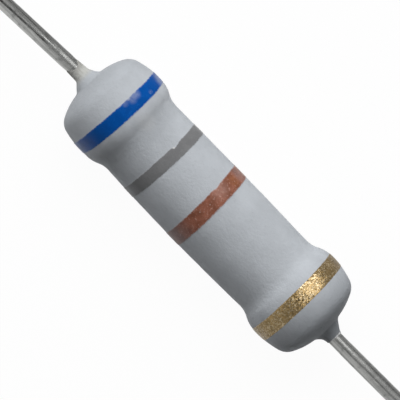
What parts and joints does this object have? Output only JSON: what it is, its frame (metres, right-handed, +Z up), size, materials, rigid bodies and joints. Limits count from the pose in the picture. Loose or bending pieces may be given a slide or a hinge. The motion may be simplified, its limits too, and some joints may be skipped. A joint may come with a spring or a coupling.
{
  "type": "axial film resistor",
  "caption": "Axial film resistor: capped ceramic rod with a spiral-trimmed film under a matt blue-grey dog-bone coat, with painted colour bands and tinned wire leads.",
  "frame": {"origin": "middle of the body, on its axis and halfway between the two lead tips", "axes": "+X along the body's axis from the first colour band (blue) to the tolerance band (gold), +Z up, +Y the side the left lead leans away from"},
  "size_m": [0.066, 0.005, 0.005],
  "materials": {
    "rod_ceramic": "fired, unglazed off-white ceramic",
    "oxide_film": "thin fired metal-oxide film, dark grey with a faint gloss",
    "cap_steel": "drawn and plated steel, satin",
    "tinned_wire": "tin-plated copper wire, drawn, streaky satin",
    "coat": "flameproof lacquer, matt with a fine grain",
    "paint_blue": "rolled-on marking paint, matt with pale smears",
    "paint_grey": "rolled-on marking paint, matt",
    "paint_brown": "rolled-on marking paint, matt",
    "paint_gold": "marking paint with metal flake"
  },
  "bodies": {
    "root": {"ceramic_rod": "rod_ceramic", "resistive_film": "oxide_film", "end_cap_left": "cap_steel", "end_cap_right": "cap_steel", "lead_left": "tinned_wire", "lead_right": "tinned_wire", "coating": "coat", "band_blue": "paint_blue", "band_grey": "paint_grey", "band_brown": "paint_brown", "band_gold": "paint_gold"}
  },
  "joints": []
}
